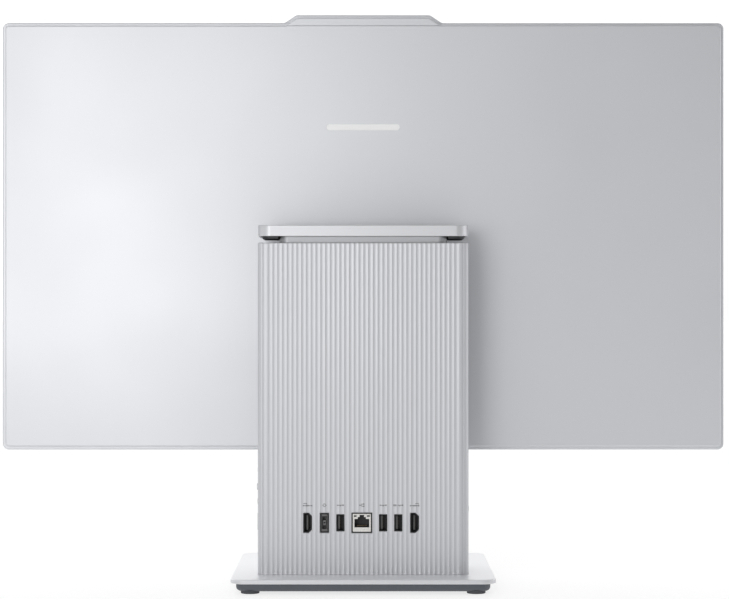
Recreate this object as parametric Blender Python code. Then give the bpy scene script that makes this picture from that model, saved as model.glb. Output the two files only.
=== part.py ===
"""All-in-one computer: a thin display hinged to a fluted column that holds the computer, on a flat base.

Frame: metres, +Z up, the screen faces -Y and the sockets face +Y. The origin is on the desk, under the
middle of the object's box. The display turns about the hinge pin, which lies along X behind the display.
"""

import math

import bmesh
import bpy
from mathutils import Matrix, Vector

GAP = 0.0003            # clearance kept between pieces that touch
LONG = 0.4              # longer than anything a through cut has to cross
ROUND_STEPS = 20        # sides of a small round piece

# Base
BASE_HALF_WIDTH = 0.10625
BASE_HALF_DEPTH = 0.103
BASE_CORNER = 0.012
FOOT_RADIUS = 0.0075
FOOT_INSET = 0.0905     # each foot's centre, from the middle in X and in Y
FOOT_HEIGHT = 0.0029
TRAY_LOW = 0.0020
TRAY_HIGH = 0.0081
PLATE_LOW = TRAY_HIGH + GAP
PLATE_HIGH = 0.0120

# Column
COLUMN_HALF_WIDTH = 0.08565
COLUMN_REAR = 0.0665
COLUMN_FRONT = -0.0005
COLUMN_LOW = PLATE_HIGH + GAP
COLUMN_HIGH = 0.2814
COLUMN_CORNER = 0.0040
WALL = 0.0022
FLUTES = 40
FLUTE_PITCH = 0.00388
FLUTE_DEPTH = 0.00032
PLATE_HALF = 14 * FLUTE_PITCH   # half width of the panel that the sockets come through
PLATE_SPAN = (0.0420, 0.0660)   # and its bottom and top
SHELL_SEAM = 0.0021     # where the rear shell's side walls meet the front shell
INNER_REAR = COLUMN_REAR - FLUTE_DEPTH - WALL
INNER_HALF_WIDTH = COLUMN_HALF_WIDTH - WALL

# Steel channel inside the column
FRAME_HALF_WIDTH = 0.0660
FRAME_FRONT = 0.0045
FRAME_STEEL = 0.0030
FRAME_FACE = FRAME_FRONT + FRAME_STEEL + GAP  # where what is fixed to its web starts

# Cap, neck and hinge
CAP_LOW = 0.2867
LIP_LOW = 0.2846           # underside of the dark lips at both ends of the cap
CAP_HIGH = 0.2957
CAP_CORNER = 0.0105
CAP_WALL = 0.0020
NECK_HALF_WIDTH = 0.0685
NECK_REAR = 0.0620
NECK_FRONT = 0.0090
NECK_WALL = 0.0025
NECK_LOW = 0.2720
ARM_HALF_WIDTH = 0.055
HINGE_Y = -0.0110
HINGE_Z = 0.2845
KNUCKLE_RADIUS = 0.0050
KNUCKLE_INNER_X = 0.030
PIN_RADIUS = 0.0022
PIN_CLEARANCE = 0.0003

# Display
PANEL_HALF_WIDTH = 0.307
PANEL_LOW = 0.1076
PANEL_HIGH = 0.4710
PANEL_CORNER = 0.0052
BUMP_HIGH = 0.4777
BUMP_FOOT = 0.0670      # half width of the camera bump where it leaves the top edge
BUMP_TOP = 0.0569       # half width of its flat top
BUMP_ROUND = 0.0030
PANEL_FRONT = -0.0367
FRAME_REAR = -0.0278
COVER_FRONT = FRAME_REAR + GAP
COVER_REAR = -0.0227
COVER_INSET = 0.0040
COVER_WALL = 0.0018
RIM = 0.0025
LCD_HALF_WIDTH = PANEL_HALF_WIDTH - RIM - GAP
LCD_HIGH = PANEL_HIGH - RIM - GAP
LCD_LOW = 0.1219
LEDGE = 0.0090

# Camera
POCKET_HALF_WIDTH = 0.036
POCKET_LOW = 0.4689
POCKET_HIGH = 0.4762
LENS_Z = 0.4725
LENS_RADIUS = 0.0026

# Sockets in the rear wall: the middle of each in X, all on one height
SOCKET_Z = 0.0540
SOCKET_FACE = COLUMN_REAR - FLUTE_DEPTH - 0.0006
SOCKET_X = {
    "video_out_socket": 0.0451,
    "power_socket": 0.0314,
    "data_socket_1": 0.0185,
    "network_socket": 0.0011,
    "data_socket_2": -0.0162,
    "data_socket_3": -0.0285,
    "video_in_socket": -0.0417,
}
BOARD_FRONT = 0.0430
BOARD_REAR = 0.0446
TONGUE_SETBACK = 0.0027  # from a socket's face to the tip of its tongue

# Side controls: heights, all at one depth
SIDE_Y = 0.0520
SOURCE_BUTTON_Z = 0.0962
POWER_BUTTON_Z = 0.0824
AUDIO_Z = 0.0705
SIDE_DATA_Z = 0.0541
STATUS_LIGHT_Z = 0.0876
MENU_BUTTON_Z = 0.0644
LOCK_SLOT_Z = 0.0533

# Blower, speakers and the display's lead
BLOWER_X = -0.028
BLOWER_Z = 0.190
BLOWER_HALF = 0.039
ROTOR_X = BLOWER_X + 0.0025
ROTOR_RADIUS = 0.0325
AXLE_RADIUS = 0.0015
SPEAKER_X = 0.0445
SPEAKER_Z = 0.058
CABLE_X = 0.0625


# ---------------------------------------------------------------- outlines

def fillet(corners, steps=4):
    """A closed outline through corners (u, v, radius), with an arc of that radius at each."""
    points = []
    for index, (u, v, radius) in enumerate(corners):
        here = Vector((u, v))
        if radius <= 0:
            points.append(here)
            continue
        before = Vector(corners[index - 1][:2])
        after = Vector(corners[(index + 1) % len(corners)][:2])
        to_before = (before - here).normalized()
        to_after = (after - here).normalized()
        half = to_before.angle(to_after) / 2
        middle = here + (to_before + to_after).normalized() * radius / math.sin(half)
        start = here + to_before * radius / math.tan(half) - middle
        turn = start.angle_signed(here + to_after * radius / math.tan(half) - middle)
        for step in range(steps + 1):
            points.append(middle + Matrix.Rotation(-turn * step / steps, 2) @ start)
    return [tuple(point) for point in points]


def box_outline(u_low, u_high, v_low, v_high, radius=0.0, steps=3):
    return fillet([(u_low, v_low, radius), (u_high, v_low, radius),
                   (u_high, v_high, radius), (u_low, v_high, radius)], steps)


def circle_outline(u, v, radius, steps=ROUND_STEPS):
    turns = [2 * math.pi * step / steps for step in range(steps)]
    return [(u + radius * math.cos(a), v + radius * math.sin(a)) for a in turns]


def panel_outline(inset):
    """The display's outline with the camera bump on top, drawn in by inset."""
    side = PANEL_HALF_WIDTH - inset
    low, high, bump = PANEL_LOW + inset, PANEL_HIGH - inset, BUMP_HIGH - inset
    slant = math.atan2(BUMP_HIGH - PANEL_HIGH, BUMP_FOOT - BUMP_TOP)
    shift = inset * math.tan(slant / 2)
    corner = max(PANEL_CORNER - inset, 0.0015)
    right = [(side, low, corner), (side, high, corner),
             (BUMP_FOOT - shift, high, BUMP_ROUND), (BUMP_TOP - shift, bump, BUMP_ROUND)]
    left = [(-u, v, radius) for u, v, radius in reversed(right)]
    return fillet(right + left, 3)


def flute_points(steps=3):
    """The fluted rear face from +X to -X: shallow hollows side by side, with sharp ridges between them."""
    half = FLUTES * FLUTE_PITCH / 2
    points = []
    for flute in range(FLUTES):
        for step in range(steps):
            share = step / steps
            depth = FLUTE_DEPTH * 4 * share * (1 - share)
            points.append((half - (flute + share) * FLUTE_PITCH, COLUMN_REAR - depth))
    points.append((-half, COLUMN_REAR))
    return points


def rear_shell_outline():
    """A wall of even thickness, open to the front: the fluted rear face and two plain sides."""
    side, inner = COLUMN_HALF_WIDTH, INNER_HALF_WIDTH
    centre = side - COLUMN_CORNER
    corner = []
    for step in range(6):
        angle = math.radians(90 * step / 6)
        corner.append((centre + COLUMN_CORNER * math.cos(angle),
                       COLUMN_REAR - COLUMN_CORNER + COLUMN_CORNER * math.sin(angle)))
    flutes = flute_points()
    corner = [point for point in corner if point[0] > flutes[0][0] + 0.0004]
    mirrored = [(-x, y) for x, y in reversed(corner)]
    inside = box_outline(-inner, inner, SHELL_SEAM, INNER_REAR, 0.004, 4)
    half = len(inside) // 2
    inside = [(-inner, SHELL_SEAM)] + list(reversed(inside[half:])) + [(inner, SHELL_SEAM)]
    return [(side, SHELL_SEAM)] + corner + flutes + mirrored + [(-side, SHELL_SEAM)] + inside


def rotor_outline(blades=11, steps=3):
    """A hub with backward-curved blades."""
    hub, width = 0.0125, 0.0011
    points = []
    for blade in range(blades):
        root = 2 * math.pi * blade / blades
        for side in (1, -1):
            for step in range(steps + 1):
                share = step / steps if side == 1 else 1 - step / steps
                radius = hub + (ROTOR_RADIUS - hub) * share
                angle = root + 0.55 * share - side * width / (2 * radius)
                points.append((ROTOR_X + radius * math.cos(angle), BLOWER_Z + radius * math.sin(angle)))
    return points


# ---------------------------------------------------------------- building

def make_material(name, colour, roughness, metallic=0.0):
    material = bpy.data.materials.new(name)
    material.use_nodes = True
    shader = material.node_tree.nodes["Principled BSDF"]
    shader.inputs["Base Color"].default_value = (*colour, 1.0)
    shader.inputs["Roughness"].default_value = roughness
    shader.inputs["Metallic"].default_value = metallic
    return material


def link(name, bm, material):
    bmesh.ops.recalc_face_normals(bm, faces=bm.faces)
    mesh = bpy.data.meshes.new(name)
    bm.to_mesh(mesh)
    bm.free()
    obj = bpy.data.objects.new(name, mesh)
    bpy.context.scene.collection.objects.link(obj)
    if material:
        obj.data.materials.append(material)
    return obj


AXES = {  # the plane's two directions for each direction of extrusion
    "X": lambda u, v, w: (w, u, v),
    "Y": lambda u, v, w: (u, w, v),
    "Z": lambda u, v, w: (u, v, w),
}


def prisms(name, outlines, axis, low, high, material=None):
    """Closed solids: each outline drawn square to axis, extruded from low to high along it."""
    place = AXES[axis]
    bm = bmesh.new()
    faces = [bm.faces.new([bm.verts.new(place(u, v, low)) for u, v in outline]) for outline in outlines]
    made = bmesh.ops.extrude_face_region(bm, geom=faces)
    move = Vector(place(0, 0, high - low))
    bmesh.ops.translate(bm, vec=move, verts=[v for v in made["geom"] if isinstance(v, bmesh.types.BMVert)])
    return link(name, bm, material)


def prism(name, outline, axis, low, high, material=None):
    return prisms(name, [outline], axis, low, high, material)


def block(name, x, y, z, material=None, radius=0.0, axis="Z"):
    """A box between two values on each axis, with its edges along axis rounded."""
    spans = {"X": (y, z, x), "Y": (x, z, y), "Z": (x, y, z)}[axis]
    (u_low, u_high), (v_low, v_high), (low, high) = spans
    return prism(name, box_outline(u_low, u_high, v_low, v_high, radius), axis, low, high, material)


def rod(name, axis, centre, radius, low, high, material=None, steps=ROUND_STEPS):
    """A round bar: centre is its place in the plane square to axis."""
    return prism(name, circle_outline(*centre, radius, steps), axis, low, high, material)


def combine(obj, other, operation):
    """other is cut from obj, or joined to it."""
    other.hide_render = True
    other.display_type = "WIRE"
    modifier = obj.modifiers.new(operation.title(), "BOOLEAN")
    modifier.operation = operation
    modifier.solver = "EXACT"
    modifier.object = other


def cut(obj, *others):
    for other in others:
        combine(obj, other, "DIFFERENCE")


def join(obj, *others):
    for other in others:
        combine(obj, other, "UNION")


def soften(obj, width, segments=1):
    """Rounds the sharp edges."""
    modifier = obj.modifiers.new("Bevel", "BEVEL")
    modifier.width = width
    modifier.segments = segments
    modifier.limit_method = "ANGLE"
    modifier.angle_limit = math.radians(50)


def slot_row(count, pitch, size, centre):
    """Outlines in a row: count slots of size (u, v), pitch apart along u."""
    starts = [centre[0] + (index - (count - 1) / 2) * pitch - size[0] / 2 for index in range(count)]
    low, high = centre[1] - size[1] / 2, centre[1] + size[1] / 2
    return [box_outline(u, u + size[0], low, high, min(size) * 0.3, 1) for u in starts]


# ---------------------------------------------------------------- base

def build_base(paint):
    plate = block("base_plate", (-BASE_HALF_WIDTH, BASE_HALF_WIDTH), (-BASE_HALF_DEPTH, BASE_HALF_DEPTH),
                  (PLATE_LOW, PLATE_HIGH), paint["silver"], BASE_CORNER)
    soften(plate, 0.0012)
    inset = 0.0043
    tray = block("base_tray", (-BASE_HALF_WIDTH + inset, BASE_HALF_WIDTH - inset),
                 (-BASE_HALF_DEPTH + inset, BASE_HALF_DEPTH - inset),
                 (TRAY_LOW, TRAY_HIGH), paint["slate"], BASE_CORNER - inset / 2)
    soften(tray, 0.0022)
    for side, x in (("left", 1), ("right", -1)):
        for end, y in (("rear", 1), ("front", -1)):
            centre = (x * FOOT_INSET, y * FOOT_INSET)
            foot = rod(f"foot_{end}_{side}", "Z", centre, FOOT_RADIUS, 0, FOOT_HEIGHT, paint["rubber"])
            soften(foot, 0.0006)
            cut(tray, rod(f"foot_seat_{end}_{side}", "Z", centre, FOOT_RADIUS + GAP, 0, FOOT_HEIGHT + GAP))
    flange_top = COLUMN_LOW + GAP + 0.003
    for side, x in (("left", 0.040), ("right", -0.040)):
        centre = (x, 0.030)
        head = (TRAY_LOW + 0.0012, TRAY_LOW + 0.0034)
        screw = rod(f"base_screw_{side}", "Z", centre, 0.0040, *head, paint["steel"])
        join(screw, rod(f"base_screw_shank_{side}", "Z", centre, 0.0020, TRAY_LOW + 0.002, flange_top + 0.004))
        cut(screw, rod(f"base_screw_socket_{side}", "Z", centre, 0.0016, 0, TRAY_LOW + 0.0026, steps=6))
        cut(tray, rod(f"base_screw_head_room_{side}", "Z", centre, 0.0043, 0, TRAY_LOW + 0.0037))
        for piece in (plate, tray, bpy.data.objects["column_frame"]):
            cut(piece, rod(f"{piece.name}_screw_hole_{side}", "Z", centre, 0.0023, 0, 0.020))


# ---------------------------------------------------------------- column

def build_column_frame(paint):
    """A steel channel, open to the rear, that carries the hinge arm down to the base."""
    low, high = COLUMN_LOW + GAP, NECK_LOW - GAP
    front, rear, steel = FRAME_FRONT, 0.0580, FRAME_STEEL
    outline = [(rear, low), (rear, low + steel), (front + steel, low + steel), (front + steel, high - steel),
               (rear, high - steel), (rear, high), (front, high), (front, low)]
    frame = prism("column_frame", outline, "X", -FRAME_HALF_WIDTH, FRAME_HALF_WIDTH, paint["steel"])
    web = (0, front + steel + 0.002)
    cut(frame,
        rod("blower_opening", "Y", (ROTOR_X, BLOWER_Z), 0.0240, *web, steps=24),
        rod("speaker_opening_left", "Y", (SPEAKER_X, SPEAKER_Z), 0.0200, *web, steps=24),
        rod("speaker_opening_right", "Y", (-SPEAKER_X, SPEAKER_Z), 0.0200, *web, steps=24),
        block("cable_notch", (CABLE_X - 0.0025, LONG), (0.0300, 0.0450), (high - 0.010, high + 0.010)))


def socket_outline(x, half_x, half_z, chamfer):
    """A socket's outline, with the corners on its -X side cut off by chamfer."""
    if not chamfer:
        return box_outline(x - half_x, x + half_x, SOCKET_Z - half_z, SOCKET_Z + half_z)
    top, low, slope = SOCKET_Z + half_z, SOCKET_Z - half_z, chamfer * 0.6
    return [(x + half_x, low), (x + half_x, top), (x - half_x + slope, top), (x - half_x, top - chamfer),
            (x - half_x, low + chamfer), (x - half_x + slope, low)]


def build_shells(paint):
    rear = prism("rear_shell", rear_shell_outline(), "Z", COLUMN_LOW, COLUMN_HIGH, paint["silver"])
    cut(rear, block("panel_seat", (-PLATE_HALF - GAP, PLATE_HALF + GAP), (INNER_REAR - 0.004, COLUMN_REAR + 0.004),
                    (PLATE_SPAN[0] - GAP, PLATE_SPAN[1] + GAP)))
    ridged = [point for point in flute_points() if abs(point[0]) < PLATE_HALF + 0.00001]
    panel = prism("socket_panel", ridged + [(-PLATE_HALF, INNER_REAR), (PLATE_HALF, INNER_REAR)], "Z",
                  *PLATE_SPAN, paint["silver"])
    for name, x in SOCKET_X.items():
        outline = socket_outline(x, *SOCKET_HOLES[name.split("_")[0]])
        cut(panel, prism(f"{name}_hole", outline, "Y", INNER_REAR - 0.004, COLUMN_REAR + 0.004))
    wall = (INNER_HALF_WIDTH - 0.004, COLUMN_HALF_WIDTH + 0.004)
    other_wall = (-wall[1], -wall[0])
    cut(rear,
        rod("source_button_hole", "X", (SIDE_Y, SOURCE_BUTTON_Z), 0.0022, *wall),
        rod("power_button_hole", "X", (SIDE_Y, POWER_BUTTON_Z), 0.0031, *wall),
        rod("audio_hole", "X", (SIDE_Y, AUDIO_Z), 0.0032, *wall),
        block("side_data_hole", wall, (SIDE_Y - 0.0035, SIDE_Y + 0.0035),
              (SIDE_DATA_Z - 0.0072, SIDE_DATA_Z + 0.0072), None, 0.0005, "X"),
        rod("status_light_hole", "X", (SIDE_Y, STATUS_LIGHT_Z), 0.0014, *other_wall),
        rod("menu_button_hole", "X", (SIDE_Y, MENU_BUTTON_Z), 0.0024, *other_wall),
        block("lock_slot", other_wall, (0.0565, 0.0595), (LOCK_SLOT_Z - 0.0035, LOCK_SLOT_Z + 0.0035),
              None, 0.0008, "X"))

    side, lip = COLUMN_HALF_WIDTH, 0.0014
    inner = INNER_HALF_WIDTH - GAP
    back = SHELL_SEAM - GAP
    half = [(0, COLUMN_FRONT, 0), (side, COLUMN_FRONT, 0.0016), (side, back, 0), (inner, back, 0),
            (inner, 0.0085, 0), (inner - lip, 0.0085, 0), (inner - lip, back, 0), (0, back, 0)]
    mirrored = [(-u, v, radius) for u, v, radius in reversed(half[1:-1])]
    outline = fillet(half[1:-1] + mirrored, 3)
    front = prism("front_shell", outline, "Z", COLUMN_LOW, COLUMN_HIGH, paint["silver"])
    holes = slot_row(12, 0.0062, (0.0028, 0.030), (BLOWER_X, BLOWER_Z))
    for x in (SPEAKER_X, -SPEAKER_X):
        holes += slot_row(7, 0.0062, (0.0028, 0.036), (x, SPEAKER_Z))
    cut(front, prisms("front_slots", holes, "Y", COLUMN_FRONT - 0.004, back + 0.004))


def build_top(paint):
    half, low, high = INNER_HALF_WIDTH - GAP, 0.2782, 0.2806
    grille = block("exhaust_grille", (-half, half), (0.0090, INNER_REAR - GAP), (low, high),
                   paint["dark"], 0.0035)
    cut(grille, block("neck_hole", (-NECK_HALF_WIDTH - GAP, NECK_HALF_WIDTH + GAP),
                      (0, NECK_REAR + 2 * GAP - 0.0020), (low - 0.01, high + 0.01)))
    holes = []
    for x in ((NECK_HALF_WIDTH + half) / 2, -(NECK_HALF_WIDTH + half) / 2):
        for y in (0.0155, 0.0240, 0.0325, 0.0410, 0.0495):
            holes.append(box_outline(x - 0.0045, x + 0.0045, y - 0.0022, y + 0.0022, 0.0010, 1))
    cut(grille, prisms("exhaust_slots", holes, "Z", low - 0.01, high + 0.01))

    outer, inner = NECK_HALF_WIDTH, NECK_HALF_WIDTH - NECK_WALL
    rear = NECK_REAR - 0.0020
    bend = 0.0075
    outline = [(outer, NECK_FRONT, 0), (outer, rear, bend), (-outer, rear, bend), (-outer, NECK_FRONT, 0),
               (-inner, NECK_FRONT, 0), (-inner, rear - NECK_WALL, bend / 2),
               (inner, rear - NECK_WALL, bend / 2), (inner, NECK_FRONT, 0)]
    prism("neck_cover", fillet(outline, 5), "Z", NECK_LOW, CAP_LOW - GAP, paint["silver"])

    cap = prism("cap", cap_outline(0), "Z", CAP_LOW, CAP_HIGH, paint["silver"])
    soften(cap, 0.0006)
    cut(cap, prism("cap_hollow", cap_outline(CAP_WALL), "Z", CAP_LOW - 0.01, CAP_LOW + 0.0031))
    liner = prism("cap_liner", cap_outline(CAP_WALL + GAP), "Z", CAP_LOW, CAP_LOW + 0.0028, paint["dark"])
    near, far, back = NECK_HALF_WIDTH + 2 * GAP, COLUMN_HALF_WIDTH - 0.0035, COLUMN_REAR - 0.0035
    lip = [(far, back, CAP_CORNER - 0.0035), (near, back, 0), (near, 0.0120, 0), (far, 0.0120, 0)]
    for name, shape in (("right", lip), ("left", [(-u, v, radius) for u, v, radius in reversed(lip)])):
        join(liner, prism(f"liner_lip_{name}", fillet(shape, 6), "Z", LIP_LOW, CAP_LOW + 0.0010))


def cap_outline(inset):
    """The cap in plan: large round corners at the rear, small ones at the front."""
    side, rear, front = COLUMN_HALF_WIDTH - inset, COLUMN_REAR - inset, COLUMN_FRONT + inset
    return fillet([(side, rear, CAP_CORNER - inset), (-side, rear, CAP_CORNER - inset),
                   (-side, front, 0.0025 - inset / 2), (side, front, 0.0025 - inset / 2)], 6)


# ---------------------------------------------------------------- hinge

def barrel_outline(to_plate):
    """A hinge barrel seen from the side, with a web of its own height running to the plane y = to_plate."""
    points = []
    turns = 14
    side = 1 if to_plate > HINGE_Y else -1
    web = 0.0019
    start = math.asin(web / KNUCKLE_RADIUS)
    for step in range(turns + 1):
        angle = start + (2 * math.pi - 2 * start) * step / turns
        points.append((HINGE_Y + side * KNUCKLE_RADIUS * math.cos(angle),
                       HINGE_Z + KNUCKLE_RADIUS * math.sin(angle)))
    return points + [(to_plate, HINGE_Z - web), (to_plate, HINGE_Z + web)]


def pin_hole(name):
    return rod(name, "X", (HINGE_Y, HINGE_Z), PIN_RADIUS + PIN_CLEARANCE, -LONG, LONG)


def build_hinge(paint):
    top, thick, foot_low = CAP_LOW - GAP, 0.0038, NECK_LOW
    front, rear = 0.0005, NECK_REAR - 0.0020 - NECK_WALL - GAP
    outline = [(front, top - thick), (front, top), (rear, top), (rear, top - thick), (0.040, top - thick),
               (0.040, foot_low + 0.003), (rear, foot_low + 0.003), (rear, foot_low), (0.012, foot_low),
               (0.012, foot_low + 0.003), (0.032, foot_low + 0.003), (0.032, top - thick)]
    arm = prism("hinge_arm", outline, "X", -ARM_HALF_WIDTH, ARM_HALF_WIDTH, paint["aluminium"])
    knuckles = {"left": (KNUCKLE_INNER_X, ARM_HALF_WIDTH), "right": (-ARM_HALF_WIDTH, -KNUCKLE_INNER_X)}
    for name, x in knuckles.items():
        knuckle = prism(f"arm_knuckle_{name}", barrel_outline(0.004), "X", *x)
        join(arm, knuckle)
    cut(arm, pin_hole("arm_pin_hole"))
    pin = rod("hinge_pin", "X", (HINGE_Y, HINGE_Z), PIN_RADIUS, -0.0565, 0.0565, paint["steel"])
    soften(pin, 0.0004, 1)

    half = KNUCKLE_INNER_X - GAP
    plate_front = COVER_REAR + GAP
    plate_rear = plate_front + 0.0030
    bracket = block("display_bracket", (-0.058, 0.058), (plate_front, plate_rear), (0.2400, 0.2965),
                    paint["aluminium"], 0.004, "Y")
    barrel = prism("bracket_barrel", barrel_outline(plate_rear - 0.001), "X", -half, half)
    join(bracket, barrel)
    cut(bracket, pin_hole("bracket_pin_hole"))
    mount = block("mount_plate", (-0.110, 0.110), (-0.0298, -0.0282), (0.200, 0.330), paint["steel"],
                  0.003, "Y")
    cover = bpy.data.objects["back_cover"]
    for name, x in (("left", 0.046), ("right", -0.046)):
        centre = (x, 0.2520)
        screw = rod(f"bracket_screw_{name}", "Y", centre, 0.0036, plate_rear + GAP, plate_rear + 0.0020,
                    paint["steel"])
        join(screw, rod(f"bracket_screw_shank_{name}", "Y", centre, 0.0017, -0.0290, plate_rear + 0.001))
        cut(screw, rod(f"bracket_screw_socket_{name}", "Y", centre, 0.0014, plate_rear + 0.0009, 0, steps=6))
        for piece in (bracket, cover, mount):
            cut(piece, rod(f"{piece.name}_hole_{name}", "Y", centre, 0.0020, -0.05, -0.010))


# ---------------------------------------------------------------- electronics in the column

def build_board(paint):
    block("mainboard", (-0.078, 0.078), (BOARD_FRONT, BOARD_REAR), (0.030, 0.245), paint["board"], 0.002, "Y")
    for name, side in (("left", 1), ("right", -1)):
        x = sorted((side * 0.0623, side * 0.0643))
        block(f"board_rail_{name}", x, (FRAME_FACE, BOARD_FRONT - GAP), (0.098, 0.240), paint["steel"])
    block("processor", (0.002, 0.030), (0.0413, BOARD_FRONT - GAP), (0.128, 0.163), paint["chip"])
    block("cold_plate", (-0.006, 0.038), (0.0370, 0.0410), (0.122, 0.169), paint["copper"], 0.002, "Y")
    for index in range(2):
        low = 0.096 + index * 0.036
        block(f"memory_module_{index + 1}", (-0.052, 0.0176), (BOARD_REAR + GAP, 0.0486), (low, low + 0.030),
              paint["board"])
    block("solid_state_drive", (0.028, 0.050), (BOARD_REAR + GAP, 0.0480), (0.100, 0.180), paint["board"])


def curve_tube(name, points, radius, material, resolution=2):
    """A round tube along points, with closed ends."""
    data = bpy.data.curves.new(name, "CURVE")
    data.dimensions = "3D"
    data.bevel_depth = radius
    data.bevel_resolution = resolution
    data.use_fill_caps = True
    spline = data.splines.new("POLY")
    spline.points.add(len(points) - 1)
    for point, place in zip(spline.points, points):
        point.co = (*place, 1.0)
    data.materials.append(material)
    obj = bpy.data.objects.new(name, data)
    bpy.context.scene.collection.objects.link(obj)
    return obj


def smooth_route(stops, per_span):
    """Points on the smooth curve that passes through every stop."""
    ends = [stops[0], *stops, stops[-1]]
    points = []
    for a, b, c, d in zip(ends, ends[1:], ends[2:], ends[3:]):
        for step in range(per_span):
            t = step / per_span
            points.append(tuple(0.5 * (2 * q + (r - p) * t + (2 * p - 5 * q + 4 * r - s) * t * t
                                       + (3 * q - p - 3 * r + s) * t ** 3) for p, q, r, s in zip(a, b, c, d)))
    return points + [tuple(stops[-1])]


def build_cooler(paint):
    """Heat goes from the processor up a pipe to the fins under the exhaust grille. The blower feeds them."""
    pipe = [(0.016, 0.0335, 0.126), (0.016, 0.0335, 0.160), (0.016, 0.0335, 0.195), (0.0145, 0.0310, 0.226),
            (0.014, 0.0290, 0.2476)]
    curve_tube("heat_pipe", smooth_route(pipe, 4), 0.0030, paint["copper"])
    fins, pitch, low, high = 17, 0.0040, 0.2480, 0.2660
    start = BLOWER_X - fins * pitch / 2 + 0.014
    comb = [(start, low)]
    for fin in range(fins):
        x = start + fin * pitch
        comb += [(x, high), (x + 0.0010, high), (x + 0.0010, low + 0.0015), (x + pitch, low + 0.0015)]
    comb = comb[:-1] + [(start + (fins - 1) * pitch + 0.0010, low)]
    prism("fin_stack", comb, "Y", 0.0130, 0.0340, paint["aluminium"])

    front, rear = FRAME_FACE, 0.0265
    housing = block("blower_housing", (BLOWER_X - BLOWER_HALF + 0.006, BLOWER_X + BLOWER_HALF - 0.001),
                    (front, rear), (BLOWER_Z - BLOWER_HALF, 0.2465), paint["dark"], 0.010, "Y")
    cut(housing,
        rod("blower_chamber", "Y", (ROTOR_X, BLOWER_Z), 0.0345, front + 0.0015, rear - 0.0015, steps=32),
        rod("blower_inlet", "Y", (ROTOR_X, BLOWER_Z), 0.0220, front - 0.01, front + 0.005, steps=24),
        block("blower_outlet", (BLOWER_X - 0.030, BLOWER_X + 0.035), (front + 0.0015, rear - 0.0015),
              (BLOWER_Z + 0.020, 0.260)))
    axle = rod("blower_axle", "Y", (ROTOR_X, BLOWER_Z), AXLE_RADIUS, front + 0.0030, rear - 0.0010, steps=12)
    join(housing, axle)
    rotor = prism("blower_rotor", rotor_outline(), "Y", front + 0.0025, rear - 0.0025, paint["dark"])
    cut(rotor, rod("rotor_bore", "Y", (ROTOR_X, BLOWER_Z), AXLE_RADIUS + GAP, 0, LONG, steps=12))


def build_speakers(paint):
    for name, side in (("left", 1), ("right", -1)):
        x = sorted((side * 0.0200, side * 0.0700))
        box = block(f"speaker_{name}", x, (FRAME_FACE, 0.0368), (0.026, 0.088), paint["dark"], 0.004, "Y")
        centre = (side * SPEAKER_X, SPEAKER_Z)
        cut(box, rod(f"speaker_cone_recess_{name}", "Y", centre, 0.0190, 0, FRAME_FACE + 0.0025))
        join(box, rod(f"speaker_dome_{name}", "Y", centre, 0.0075, FRAME_FACE + 0.0010, FRAME_FACE + 0.0040))


# ---------------------------------------------------------------- sockets and side controls

SOCKET_HOLES = {  # half width, half height and cut corner of each hole in the rear wall
    "video": (0.0035, 0.0081, 0.0026),
    "power": (0.0037, 0.0081, 0.0),
    "data": (0.0033, 0.0069, 0.0),
    "network": (0.0084, 0.0083, 0.0),
}


def socket_body(name, x, half_x, half_z, wall, depth, material, chamfer=0.0):
    """A socket's shell: a blind pocket that opens to the rear, standing on the board."""
    half_x, half_z = half_x - GAP, half_z - GAP
    body = prism(name, socket_outline(x, half_x, half_z, chamfer), "Y", BOARD_REAR + GAP, SOCKET_FACE, material)
    mouth = socket_outline(x, half_x - wall, half_z - wall, chamfer)
    cut(body, prism(f"{name}_pocket", mouth, "Y", SOCKET_FACE - depth, SOCKET_FACE + 0.01))
    return body


def build_sockets(paint):
    tip = SOCKET_FACE - TONGUE_SETBACK
    for name, x in SOCKET_X.items():
        kind = name.split("_")[0]
        half_x, half_z, chamfer = SOCKET_HOLES[kind]
        if kind == "data":
            body = socket_body(name, x, half_x, half_z, 0.0005, 0.0100, paint["socket"])
            join(body, block(f"{name}_tongue", (x + 0.0003, x + 0.0021), (SOCKET_FACE - 0.0105, tip),
                             (SOCKET_Z - 0.0056, SOCKET_Z + 0.0056)))
        elif kind == "video":
            body = socket_body(name, x, half_x, half_z, 0.0005, 0.0100, paint["socket"], chamfer)
            join(body, block(f"{name}_tongue", (x - 0.0005, x + 0.0007), (SOCKET_FACE - 0.0105, tip),
                             (SOCKET_Z - 0.0060, SOCKET_Z + 0.0060)))
        elif kind == "power":
            body = socket_body(name, x, half_x, half_z, 0.0010, 0.0100, paint["socket"])
            join(body, rod(f"{name}_pin", "Y", (x, SOCKET_Z), 0.0008, SOCKET_FACE - 0.0105, tip, steps=12))
        else:
            body = prism(name, box_outline(x - 0.0081, x + 0.0081, SOCKET_Z - 0.0080, SOCKET_Z + 0.0080),
                         "Y", BOARD_REAR + GAP, SOCKET_FACE, paint["socket"])
            cut(body, prism(f"{name}_pocket", network_mouth(x), "Y", SOCKET_FACE - 0.0130, SOCKET_FACE + 0.01))


def network_mouth(x):
    """The plug's shape with the latch key on top."""
    z = SOCKET_Z
    half, low, shoulder, step, top = 0.0060, z - 0.0037, z + 0.0031, z + 0.0047, z + 0.0064
    return [(x + half, low), (x + half, shoulder), (x + 0.0033, shoulder), (x + 0.0033, step),
            (x + 0.0018, step), (x + 0.0018, top), (x - 0.0018, top), (x - 0.0018, step),
            (x - 0.0033, step), (x - 0.0033, shoulder), (x - half, shoulder), (x - half, low)]


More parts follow.
